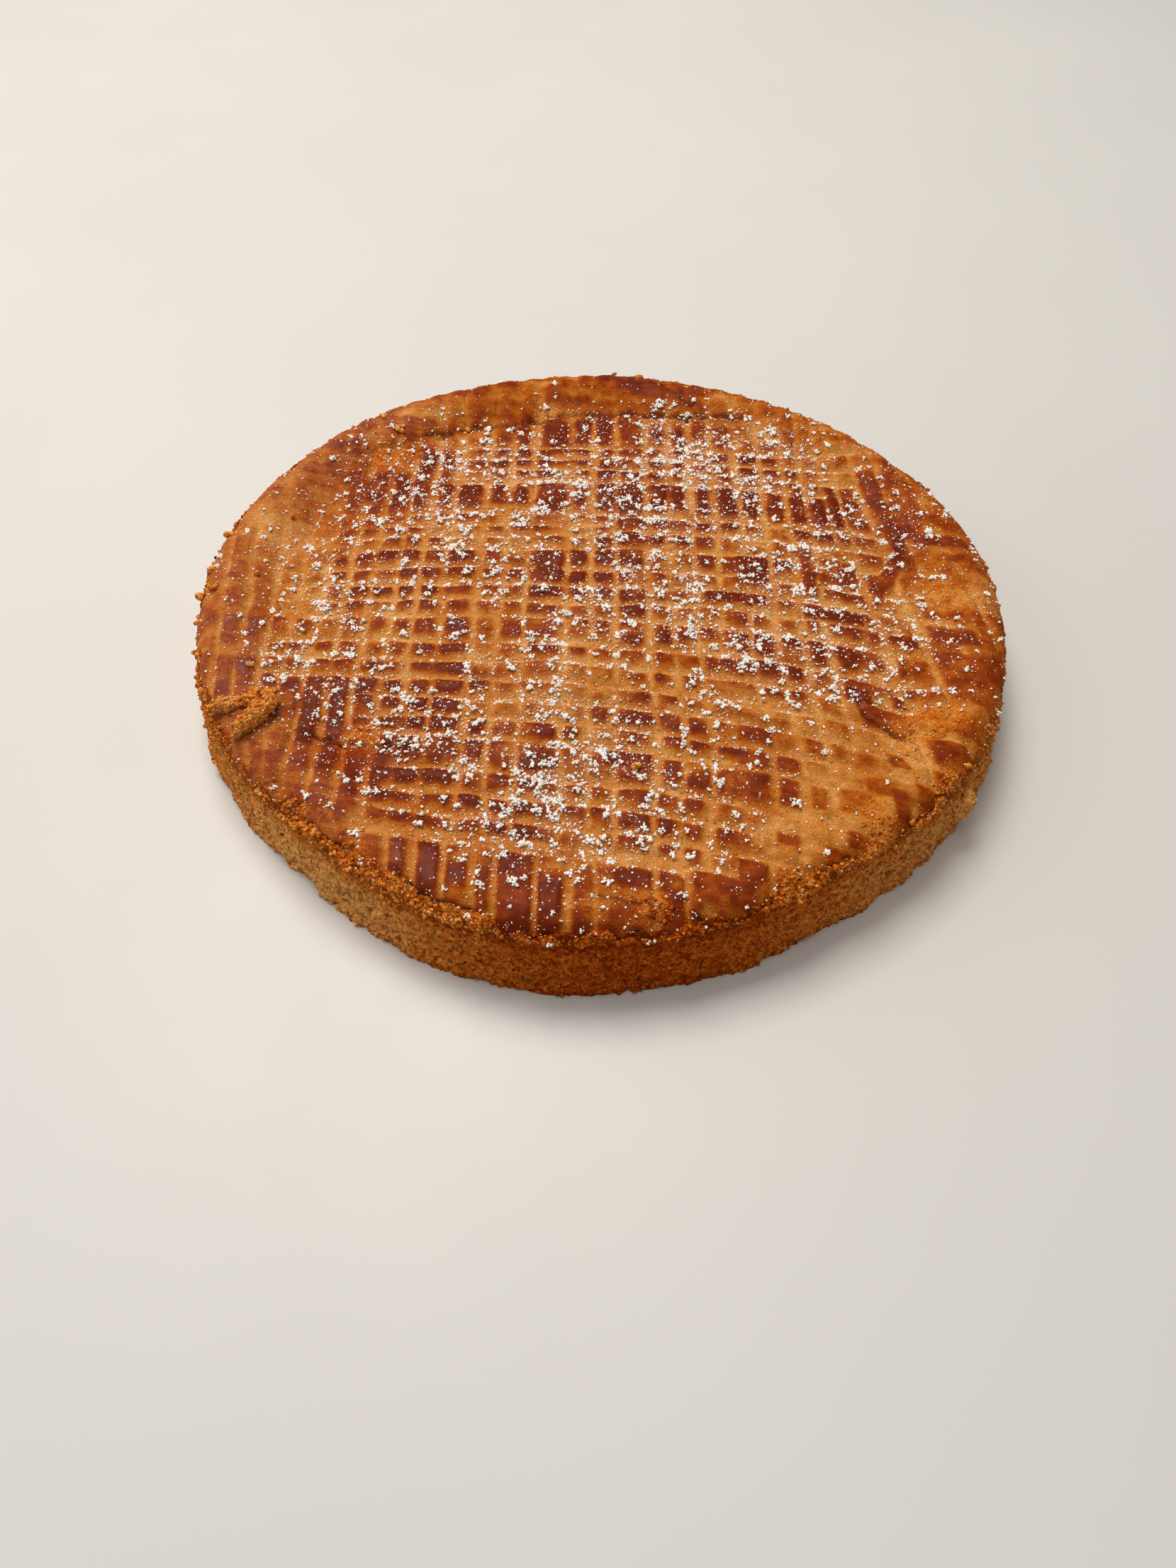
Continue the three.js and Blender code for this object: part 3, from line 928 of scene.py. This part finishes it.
def crust(material):
    """The browned crust: its face, its ragged lip and a plain underside that the crumb hides."""
    face, ways, over = crust_face()
    skin = Skin(face, over)
    face = face + skin.relief()[:, None] * ways
    face_faces = disc_faces(CRUST_RINGS)
    lip = np.arange(len(face) - 6 * CRUST_RINGS, len(face))
    edge = face[lip]
    inward = edge[:, :2] / np.linalg.norm(edge[:, :2], axis=1)[:, None]
    rings, points, faces = [lip], [face], [face_faces]
    for inset, drop in CRUST_UNDER:
        points.append(np.column_stack([edge[:, :2] - inset * inward, edge[:, 2] - drop]))
        rings.append(rings[-1] + len(lip))
        faces.append(band_faces(rings[-1], rings[-2]))
    middle = rings[-1][-1] + 1
    points.append(np.array([[0, 0, points[-1][:, 2].mean()]]))
    faces.append(fan_faces(rings[-1], middle)[:, ::-1])
    points = np.concatenate(points)
    masks = padded(skin.masks(), len(points) - len(face))
    piece = mesh_piece("crust", points, np.concatenate(faces), material, "pastry", **masks)
    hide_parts("cake")
    return (face, face_faces), skin.crumbly


# The wall

WALL_TUCK = 0.34  # the wall runs on under the crust by this turn of the shoulder
TUCK_INSET = 0.3  # and stands back there by this much
TUCK_FADE = 4.0
WALL_GRAIN, WALL_FINE = 2.1, 1.15  # sizes of the wall's grains
WALL_ROUGHER = (Side(318, 26, 0.4), Side(235, 24, 0.3))
SHELF = (0.9, 0.9, 0.75)  # the wall closes inside the crust over a shelf of this share of its upper edge
WALL_TOAST = 0.38
# Sides of the wall: browner at the front, which is painted shade, and paler at the left front and the right
# front
WALL_TOAST_AND_SHADE = (Side(276, 26, 0.22), Side(230, 22, -0.36), Side(322, 26, -0.22))


def wall_face():
    """Points of the bare wall from its foot to under the crust, with the way that each faces."""
    angle = np.tile(2 * np.pi * np.arange(WALL_COLUMNS) / WALL_COLUMNS, WALL_ROWS)
    row = np.repeat(np.arange(WALL_ROWS), WALL_COLUMNS) / (WALL_ROWS - 1)
    radius, straight = outline(angle), crest_height(angle) - SHOULDER
    bend = np.pi / 2 - lip_turn(angle) + WALL_TUCK
    along = row * (straight + SHOULDER * bend)
    turn = np.maximum(along - straight, 0) / SHOULDER
    up = np.minimum(along, straight)
    lip = straight + SHOULDER * (bend - WALL_TUCK)
    tucked = eased(along, lip - TUCK_FADE, lip)
    out = radius - WALL_LEAN * up / straight - SHOULDER * (1 - np.cos(turn))
    out = out - tucked * TUCK_INSET * np.cos(turn)
    height = up + SHOULDER * np.sin(turn) - tucked * TUCK_INSET * np.sin(turn)
    way = heading(angle)
    points = np.column_stack([out[:, None] * way, height])
    ways = np.column_stack([np.cos(turn)[:, None] * way, np.sin(turn)])
    return points, ways, angle, row, tucked


def wall_toast(points):
    """How brown the crumb of the wall is: browner under the crust and at its foot, paler behind, and
    brownest at the front, where the extra brown is painted shade.
    """
    angle, height = bearing(points), points[:, 2]
    # the front's extra brown from these sides is painted shade
    toast = WALL_TOAST + sided(WALL_TOAST_AND_SHADE, angle)
    toast = toast + 0.12 * eased(height, 15, 22) + 0.15 * (1 - eased(height, 0, 2))
    toast = toast - 0.2 * eased(np.sin(angle), -0.3, 0.4)
    return np.maximum(toast, 0.36 * eased(height, 13, 19))


def wall(material):
    """The crumbly wall on a flat base, closed inside the crust."""
    points, ways, angle, row, tucked = wall_face()
    coarse, small = grains(points, WALL_GRAIN, 61), grains(points, WALL_FINE, 64)
    relief = 0.8 * (coarse - 0.85) + 0.9 * (small - 0.7) + 0.8 * fractal(points, 6, 67)
    relief = relief * (1 - 0.75 * tucked) * (1 + sided(WALL_ROUGHER, angle))
    points = points + relief[:, None] * ways
    points[:, 2] = np.maximum(points[:, 2], 0)
    points[:WALL_COLUMNS, 2] = 0
    # gap: painted shade between the grains, and painted shadow where the wall tucks under the crust
    gap = 1 - eased(0.6 * coarse + 0.4 * small, 0.25, 0.75)
    gap = np.maximum(gap, 0.9 * tucked * eased(row, 0.6, 0.9))
    rings = np.arange(WALL_ROWS * WALL_COLUMNS).reshape(WALL_ROWS, WALL_COLUMNS)
    outer_faces = np.concatenate([band_faces(low, high) for low, high in zip(rings, rings[1:])])
    shelf = points[rings[-1]] * SHELF
    shelf_ring = rings[-1] + WALL_COLUMNS
    middles = np.array([[0, 0, shelf[:, 2].mean()], [0, 0, 0]])
    top, bottom = shelf_ring[-1] + 1, shelf_ring[-1] + 2
    shelf_faces = [band_faces(rings[-1], shelf_ring), fan_faces(shelf_ring, top)]
    base_faces = fan_faces(rings[0], bottom)[:, ::-1]
    masks = padded({"toast": wall_toast(points), "gap": gap}, len(shelf) + len(middles))
    whole = np.concatenate([points, shelf, middles])
    faces = np.concatenate([outer_faces, *shelf_faces, base_faces])
    piece = mesh_piece("crumb_wall", whole, faces, material, "pastry", **masks)
    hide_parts("cake")
    return points, outer_faces


# Lumps and scattered things


def ball(fineness):
    """Points and triangles of a round ball of radius 1."""
    shape = bmesh.new()
    bmesh.ops.create_icosphere(shape, subdivisions=fineness, radius=1)
    points = np.array([point.co for point in shape.verts])
    faces = np.array([[point.index for point in face.verts] for face in shape.faces])
    shape.free()
    return points, faces


def diamond():
    """Points and triangles of an eight-sided grain of radius 1."""
    points = np.concatenate([np.eye(3), -np.eye(3)])
    upper = np.array([[0, 1, 2], [1, 3, 2], [3, 4, 2], [4, 0, 2]])
    lower = np.array([[1, 0, 5], [3, 1, 5], [4, 3, 5], [0, 4, 5]])
    return points, np.concatenate([upper, lower])


def random_turns(count, rng):
    turns = np.linalg.qr(rng.standard_normal((count, 3, 3)))[0]
    return turns * np.sign(np.linalg.det(turns))[:, None, None]


def rough_balls(shape, centres, sizes, roughness, rng):
    """A dented ball at each centre, all as one array of points and one of triangles."""
    shape_points, shape_faces = shape
    count = len(centres)
    dents = 1 + roughness * np.clip(rng.standard_normal((count, len(shape_points), 1)), -1.5, 1.5)
    stretch = rng.uniform(0.7, 1.2, (count, 1, 3))
    turned = np.einsum("nij,nvj->nvi", random_turns(count, rng), shape_points * dents * stretch)
    points = centres[:, None] + sizes[:, None, None] * turned
    faces = shape_faces + len(shape_points) * np.arange(count)[:, None, None]
    return points.reshape(-1, 3), faces.reshape(-1, 3)


def scatter(points, faces, density, count, rng):
    """Places on a mesh, drawn by area and by density at its points, with the way that each faces."""
    corners = points[faces]
    across = np.cross(corners[:, 1] - corners[:, 0], corners[:, 2] - corners[:, 0])
    area = np.linalg.norm(across, axis=1)
    chance = area * density[faces].mean(axis=1)
    pick = rng.choice(len(faces), count, p=chance / chance.sum())
    share = rng.dirichlet((1, 1, 1), count)
    places = (corners[pick] * share[:, :, None]).sum(axis=1)
    return places, across[pick] / area[pick][:, None]


def joined(meshes):
    """Several arrays of points and triangles as one of each."""
    points, faces, start = [], [], 0
    for mesh_points, mesh_faces in meshes:
        points.append(mesh_points)
        faces.append(mesh_faces + start)
        start += len(mesh_points)
    return np.concatenate(points), np.concatenate(faces)


TORN_GRAIN, TORN_FINE = 1.8, 0.9  # sizes of the torn crumb's grains
BALL_FINE, BALL_PLAIN, BALL_COARSE = 5, 2, 1  # how often a ball's triangles are divided


def torn_lumps(material):
    """The torn strip and the chunk at the wall, as rough lumps of crumb."""
    shape_points, shape_faces = ball(BALL_FINE)
    meshes = []
    for lump in LUMPS:
        dip = Matrix.Rotation(math.radians(lump.dip), 3, "Y")
        turn = np.array(Matrix.Rotation(math.radians(lump.turn), 3, "Z") @ dip).T
        placed = (shape_points * lump.half) @ turn + lump.at
        ways = (shape_points / lump.half) @ turn
        ways = ways / np.linalg.norm(ways, axis=1)[:, None]
        coarse, small = grains(placed, TORN_GRAIN, 71), grains(placed, TORN_FINE, 74)
        relief = 0.5 * (coarse - 0.6) + 0.25 * (small - 0.5) + fractal(placed, 4.5, 77)
        meshes.append((placed + relief[:, None] * ways, shape_faces))
    points, faces = joined(meshes)
    # gap: painted shade between the torn crumb's grains
    gap = 0.4 * (1 - eased(grains(points, TORN_GRAIN, 71), 0.2, 0.7))
    toast = 0.22 + 0.15 * noise(points, 6, 79) - 0.15 * (points[:, 0] > 0)
    mesh_piece("torn_crumb", points, faces, material, "pastry", toast=toast, gap=gap)
    return points, faces


# Grains of crumb: how many, the smallest, how much bigger the biggest is, how rare big ones are, how far
# each stands out as a share of its size, and the seed
Grains = namedtuple("Grains", "count least more rarity lift seed")
WALL_GRAINS = Grains(6500, 0.28, 0.6, 3, 0.1, 5)
LIP_GRAINS = Grains(5500, 0.2, 0.55, 3.5, -0.15, 6)
TORN_GRAINS = Grains(1200, 0.2, 0.5, 3, 0, 7)
GRAIN_DENTS = 0.28
GRAIN_TONES = 0.06
GRAIN_SEAT = 0.8  # a grain's middle is no lower than this share of its size


def grain_piece(name, mesh, density, kind, toast, material):
    """Many small grains of crumb on a mesh as one piece, each with its own tone."""
    rng = np.random.default_rng(kind.seed)
    places, ways = scatter(*mesh, density, kind.count, rng)
    sizes = kind.least + kind.more * rng.random(kind.count) ** kind.rarity
    centres = places + kind.lift * sizes[:, None] * ways
    centres[:, 2] = np.maximum(centres[:, 2], GRAIN_SEAT * sizes)
    shape = ball(BALL_COARSE)
    points, faces = rough_balls(shape, centres, sizes, GRAIN_DENTS, rng)
    points[:, 2] = np.maximum(points[:, 2], 0)
    tone = np.repeat(toast(places) + rng.normal(0, GRAIN_TONES, kind.count), len(shape[0]))
    mesh_piece(name, points, faces, material, "pastry", toast=tone, gap=np.zeros(len(points)))


def grain_toast(points):
    return wall_toast(points) - 0.08


def wall_grains(wall_mesh, material):
    """The grains that the wall is made of, closer together at its foot and under the crust."""
    height = wall_mesh[0][:, 2]
    density = 1 + 0.8 * (1 - eased(height, 0, 2.5)) + 0.5 * eased(height, 15, 20)
    grain_piece("wall_grains", wall_mesh, density, WALL_GRAINS, grain_toast, material)


def lip_toast(points):
    return np.maximum(wall_toast(points) - 0.18, 0.3)


def lip_grains(crust_mesh, crumbly, material):
    """Grains along the crust's ragged edge and where the crust broke up, most of them at the front."""
    points, _ = crust_mesh
    rim = np.hypot(points[:, 0], points[:, 1]) / outline(bearing(points))
    density = crumbly * (0.25 + np.clip(0.4 + noise(points, 7, 85), 0, 1))
    density = density * mixed(0.1, 1, eased(rim, 0.9, 0.96)) * mixed(0.2, 1, eased(-points[:, 1], 10, 70))
    grain_piece("lip_grains", crust_mesh, density, LIP_GRAINS, lip_toast, material)


def torn_toast(points):
    return 0.18 - 0.2 * (points[:, 0] > 0)


def torn_grains(torn_mesh, material):
    """Grains on the torn strip and on the chunk at the wall, which is paler."""
    density = np.ones(len(torn_mesh[0]))
    grain_piece("torn_grains", torn_mesh, density, TORN_GRAINS, torn_toast, material)


# Loose crumbs that lie on the crust: place and size
LOOSE_CRUMBS = (
    (-72, -85, 1.4), (-67, -90, 1.1), (-63, -97, 1.3), (-60, -85, 0.9), (-90, -71, 1.5), (-84, -80, 1.1),
    (-42, -109, 1.2), (-75, 80, 1.5), (-68, 76, 1.7), (-47, 80, 1.8), (-116, 24.6, 1.5), (-117.7, 8.3, 1.3),
    (-120, -2.6, 1.9), (-115, -1, 1.5), (-119.5, -11.3, 1.2), (-117.8, -23, 1.6), (-113.2, -37.6, 1.3),
    (17, 55, 1.4), (-104, 6, 1.1), (3, 108, 1.0), (12, 108, 1.2), (-76, -47, 0.9), (10, -64, 1.5),
    (-99, -31, 1.2), (-97, 33, 1.0), (52, -104, 1.2), (66, -92, 1.1), (92, -70, 1.3),
)
CRUMB_LUMPS = 5
CRUMB_DENTS = 0.14


def loose_crumbs(crust_mesh, material):
    """Crumbs that lie on the crust, each of a few lumps."""
    rng = np.random.default_rng(8)
    crust_points, _ = crust_mesh
    centres, sizes = [], []
    for x, y, size in LOOSE_CRUMBS:
        seat = crust_points[np.argmin((crust_points[:, 0] - x) ** 2 + (crust_points[:, 1] - y) ** 2)]
        for _ in range(CRUMB_LUMPS):
            centres.append(seat + size * rng.uniform((-0.7, -0.7, 0.1), (0.7, 0.7, 0.7)))
            sizes.append(size * rng.uniform(0.35, 0.7))
    points, faces = rough_balls(ball(BALL_PLAIN), np.array(centres), np.array(sizes), CRUMB_DENTS, rng)
    toast = 0.15 + 0.25 * noise(points, 2, 83)
    mesh_piece("loose_crumbs", points, faces, material, "pastry", toast=toast, gap=np.zeros(len(points)))


# Icing sugar: clumps of small balls, and single grains and dust with their numbers and sizes
CLUMPS = 3350
CLUMP_WIDTH = (0.5, 2.0)
CLUMP_BALLS = (4, 12)
CLUMP_SPREAD = 0.31
CLUMP_BALL_SIZE = (0.26, 0.52)
CLUMP_DENTS = 0.14
SUGAR_KINDS = (("sugar_grains", 13000, 0.18, 0.42), ("sugar_dust", 4000, 0.1, 0.22))
SUGAR_DENTS = 0.22


def sugar_clumps(crust_mesh, material):
    """Clumps of icing sugar, each a handful of small balls."""
    rng = np.random.default_rng(13)
    places, ways = scatter(*crust_mesh, sugar_density(crust_mesh[0]), CLUMPS, rng)
    grown = rng.random(CLUMPS) ** 2.2
    width = mixed(*CLUMP_WIDTH, grown)
    clump = np.repeat(np.arange(CLUMPS), np.rint(mixed(*CLUMP_BALLS, grown)).astype(int))
    spread = rng.normal(0, CLUMP_SPREAD, (len(clump), 3)) * width[clump, None]
    spread[:, 2] = 0.4 * np.abs(spread[:, 2])
    centres = places[clump] + spread + 0.12 * ways[clump]
    sizes = mixed(*CLUMP_BALL_SIZE, rng.random(len(clump))) * np.sqrt(width[clump])
    points, faces = rough_balls(diamond(), centres, sizes, CLUMP_DENTS, rng)
    mesh_piece("sugar_clumps", points, faces, material)


def sugar_grains(crust_mesh, material):
    """Single grains of icing sugar, and finer dust between them."""
    rng = np.random.default_rng(21)
    density = sugar_density(crust_mesh[0]) ** 0.7
    for name, count, least, most in SUGAR_KINDS:
        places, ways = scatter(*crust_mesh, density, count, rng)
        sizes = mixed(least, most, rng.random(count) ** 1.7)
        centres = places + 0.3 * sizes[:, None] * ways
        points, faces = rough_balls(diamond(), centres, sizes, SUGAR_DENTS, rng)
        mesh_piece(name, points, faces, material)


# The stage

CAMERA_AT = (-2.9, -250.6, 276.1)
CAMERA_DIP = 53.80
CAMERA_ROLL = 1.255
LENS = 27.03
SENSOR = 36.0
NEAREST = 0.01  # metres
FLOOR_HALF = 3.0  # metres
ROOM_COLOUR = (1.0, 0.98, 0.95, 1.0)
ROOM_STRENGTH = 0.22


def camera():
    """The camera where the photograph was taken from."""
    data = bpy.data.cameras.new("camera")
    data.sensor_fit = "VERTICAL"
    data.sensor_height = SENSOR
    data.lens = LENS
    data.clip_start = NEAREST
    tilt = Matrix.Rotation(math.radians(90 - CAMERA_DIP), 4, "X")
    roll = Matrix.Rotation(math.radians(CAMERA_ROLL), 4, "Z")
    eye = added("camera", data)
    eye.matrix_world = Matrix.Translation(Vector(CAMERA_AT) * MM) @ tilt @ roll
    bpy.context.scene.camera = eye


def floor():
    """A wide pale floor with a faint grain."""
    shader = Shader("floor", Specular_IOR_Level=0.3)
    rough = shader.range(shader.noise(60), 0.3, 0.7, low=0.4, high=0.5)
    pale = shader.ramp(shader.noise(400, detail=2.0), FLOOR_TONES)
    shader.set(shader.surface, Base_Color=pale, Roughness=rough)
    corners = [(FLOOR_HALF * x, FLOOR_HALF * y, 0) for x, y in ((-1, -1), (1, -1), (1, 1), (-1, 1))]
    mesh = bpy.data.meshes.new("floor")
    mesh.from_pydata(corners, [], [(0, 1, 2, 3)])
    mesh.materials.append(shader.material)
    plane = added("floor", mesh)


def soft_light(name, at, size, power, tint):
    """A square soft light that faces the cake, with its place and size in metres."""
    data = bpy.data.lights.new(name, "AREA")
    data.size = size
    data.energy = power
    data.color = tint
    lamp = added(name, data)
    lamp.location = at
    lamp.rotation_euler = (-Vector(at)).to_track_quat("-Z", "Y").to_euler()


def studio():
    """Soft light from high behind, a cooler window at the left and a pale room all round."""
    world = bpy.data.worlds.new("studio")
    world.use_nodes = True
    room = world.node_tree.nodes["Background"]
    room.inputs["Color"].default_value = ROOM_COLOUR
    room.inputs["Strength"].default_value = ROOM_STRENGTH
    bpy.context.scene.world = world
    bpy.context.scene.view_settings.view_transform = "Standard"
    soft_light("key", at=(-0.3, 0.6, 1.35), size=0.7, power=18.0, tint=(1.0, 0.95, 0.88))
    soft_light("ceiling", at=(-0.2, -0.35, 1.6), size=1.0, power=4.5, tint=(1.0, 0.97, 0.92))
    soft_light("window", at=(-1.3, 0.35, 0.75), size=1.0, power=5.0, tint=(0.93, 0.95, 1.0))


def build():
    """The whole scene, piece by piece."""
    crust_finish, crumb_finish, powder = crust_material(), crumb_material(), sugar_material()
    crust_mesh, crumbly = crust(crust_finish)
    wall_mesh = wall(crumb_finish)
    torn_mesh = torn_lumps(crumb_finish)
    wall_grains(wall_mesh, crumb_finish)
    lip_grains(crust_mesh, crumbly, crumb_finish)
    torn_grains(torn_mesh, crumb_finish)
    loose_crumbs(crust_mesh, crumb_finish)
    sugar_clumps(crust_mesh, powder)
    sugar_grains(crust_mesh, powder)
    camera()
    floor()
    studio()


build()
